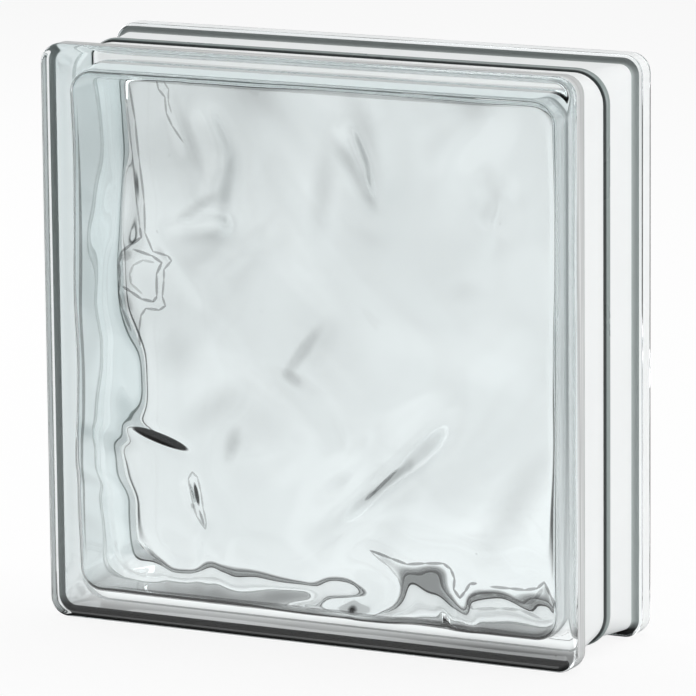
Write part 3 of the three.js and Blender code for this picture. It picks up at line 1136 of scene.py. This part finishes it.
class GLASSBLOCK_OT_glass_body(bpy.types.Operator):
    """Model both fused halves of the block as one clear glass body"""

    bl_idname = "glassblock.glass_body"
    bl_label = "Build the Glass Body"

    def execute(self, context):
        sizes = context.scene.glassblock_sizes
        parts = MeshParts()
        add_outer_skin(parts, sizes)
        add_air_space(parts, sizes)
        body = parts.finish("glass_body")
        glass = context.scene.glassblock_glass
        covers = (
            ("band_coat", coat_colour, glass.coat_mirroring),
            ("lip_coat", lip_colour, glass.lip_mirroring),
            # The ledges get a cover of painted shade and painted reflection
            ("shaded_ledge", ledge_colour, glass.ledge_mirroring),
            ("fused_seam", seam_colour, glass.seam_mirroring),
        )
        materials = body.data.materials
        materials.append(clear_glass("pressed_glass", glass))
        for name, colour_of, mirroring in covers:
            materials.append(covered_glass(name, glass, colour_of, mirroring))
        # The front face inside gets glass with streaks of painted shade, and glass with its thin
        # lines too
        materials.append(clear_glass("shade_streaked_glass", glass, SHADE_STREAKS))
        materials.append(clear_glass("shade_lined_glass", glass, (*SHADE_STREAKS, *line_streaks())))
        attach(body, "root")
        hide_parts("front_dish", "rear_dish")
        return {"FINISHED"}


class GLASSBLOCK_OT_stage(bpy.types.Operator):
    """Set up the pale floor, the soft lamps, the world and the camera"""

    bl_idname = "glassblock.stage"
    bl_label = "Set Up the Studio"

    def execute(self, context):
        studio = context.scene.glassblock_studio
        scene = context.scene
        scene.view_settings.view_transform = "Standard"
        self.add_floor(studio)
        self.add_world(scene, studio)
        self.add_lamps(studio)
        self.add_camera(scene)
        return {"FINISHED"}

    @staticmethod
    def add_floor(studio):
        mesh = bpy.data.meshes.new("studio_floor")
        corners = [
            (x * FLOOR_REACH, y * FLOOR_REACH, 0) for x, y in ((-1, -1), (1, -1), (1, 1), (-1, 1))
        ]
        mesh.from_pydata(corners, [], [(0, 1, 2, 3)])
        floor = bpy.data.objects.new("studio_floor", mesh)
        bpy.context.scene.collection.objects.link(floor)
        material = bpy.data.materials.new("floor_paint")
        shader = Shader(material)
        paint = shader.node("ShaderNodeBsdfDiffuse", {"Color": (*studio.floor_colour, 1.0)})
        seen, through, spread = seen_rays(shader)
        place = shader.value("ShaderNodeNewGeometry", "Position")
        level, glow = floor_levels(shader, studio, place)
        level = between(level, glow, spread)
        white = shader.node("ShaderNodeEmission", {"Strength": BRIGHTEST_FLOOR})
        black = shader.node("ShaderNodeEmission", {"Color": BLACK})
        shown = shader.mixed(between(seen, 1, level) / BRIGHTEST_FLOOR, black, white)
        mixed = shader.mixed(seen * FLOOR_WHITENESS + through, paint, shown)
        shader.node("ShaderNodeOutputMaterial", {"Surface": mixed.outputs[0]})
        mesh.materials.append(material)

    @staticmethod
    def add_world(scene, studio):
        world = bpy.data.worlds.new("studio_world")
        scene.world = world
        shader = Shader(world)
        seen, through, spread = seen_rays(shader)
        place = shader.value("ShaderNodeTexCoord", "Generated")
        _, _, height = shader.parts_of(place)
        below_ceiling = ((CEILING_EDGE - height) / CEILING_SOFTNESS + 0.5).clamped()
        wall = room_level(shader, studio, place) * studio.far_level * below_ceiling
        clear = through * (1 - spread)
        level = clear * wall + (1 - clear) * studio.world_level
        background = shader.node("ShaderNodeBackground", {
            "Color": WHITE, "Strength": between(seen, 1, level),
        })
        shader.node("ShaderNodeOutputWorld", {"Surface": background.outputs[0]})

    @staticmethod
    def add_lamps(studio):
        for name, place, width, height, share in LAMPS:
            lamp = bpy.data.lights.new(name, "AREA")
            lamp.shape = "RECTANGLE"
            lamp.size = width
            lamp.size_y = height
            lamp.energy = studio.lamp_power * share
            holder = bpy.data.objects.new(name, lamp)
            holder.location = place
            aim = BLOCK_CENTRE - holder.location
            holder.rotation_euler = aim.to_track_quat("-Z", "Y").to_euler()
            bpy.context.scene.collection.objects.link(holder)

    @staticmethod
    def add_camera(scene):
        azimuth, elevation, roll = map(
            math.radians, (CAMERA_AZIMUTH, CAMERA_ELEVATION, CAMERA_ROLL),
        )
        forward = Vector((
            -math.sin(azimuth) * math.cos(elevation),
            math.cos(azimuth) * math.cos(elevation),
            -math.sin(elevation),
        ))
        right = Vector((math.cos(azimuth), math.sin(azimuth), 0.0))
        up = right.cross(forward)
        rolled_right = right * math.cos(roll) + up * math.sin(roll)
        rolled_up = up * math.cos(roll) - right * math.sin(roll)
        data = bpy.data.cameras.new("camera")
        data.lens = CAMERA_LENS
        data.sensor_width = CAMERA_SENSOR
        data.clip_start, data.clip_end = CAMERA_CLIP
        camera = bpy.data.objects.new("camera", data)
        place = (
            Vector(AIM_POINT) - forward * CAMERA_DISTANCE
            - rolled_right * AIM_OFFSET[0] - rolled_up * AIM_OFFSET[1]
        )
        axes = Matrix((rolled_right, rolled_up, -forward)).transposed()
        camera.matrix_world = Matrix.Translation(place) @ axes.to_4x4()
        scene.collection.objects.link(camera)
        scene.camera = camera


class GLASSBLOCK_PT_panel(bpy.types.Panel):
    """Sizes, finish and steps of the glass block"""

    bl_idname = "GLASSBLOCK_PT_panel"
    bl_label = "Glass Block"
    bl_space_type = "VIEW_3D"
    bl_region_type = "UI"
    bl_category = "Glass Block"

    def draw(self, context):
        scene = context.scene
        for group in (scene.glassblock_sizes, scene.glassblock_glass, scene.glassblock_studio):
            box = self.layout.box()
            for name in group.__annotations__:
                box.prop(group, name)
        for operator in OPERATORS:
            self.layout.operator(operator.bl_idname)


OPERATORS = (GLASSBLOCK_OT_glass_body, GLASSBLOCK_OT_stage)
GROUPS = {
    "glassblock_sizes": GLASSBLOCK_PG_sizes,
    "glassblock_glass": GLASSBLOCK_PG_glass,
    "glassblock_studio": GLASSBLOCK_PG_studio,
}


def register():
    for group in GROUPS.values():
        bpy.utils.register_class(group)
    for name, group in GROUPS.items():
        setattr(bpy.types.Scene, name, bpy.props.PointerProperty(type=group))
    for operator in OPERATORS:
        bpy.utils.register_class(operator)
    bpy.utils.register_class(GLASSBLOCK_PT_panel)


def unregister():
    bpy.utils.unregister_class(GLASSBLOCK_PT_panel)
    for operator in reversed(OPERATORS):
        bpy.utils.unregister_class(operator)
    for name, group in GROUPS.items():
        delattr(bpy.types.Scene, name)
        bpy.utils.unregister_class(group)


def main():
    register()
    bpy.ops.glassblock.glass_body()
    bpy.ops.glassblock.stage()


if __name__ == "__main__":
    main()
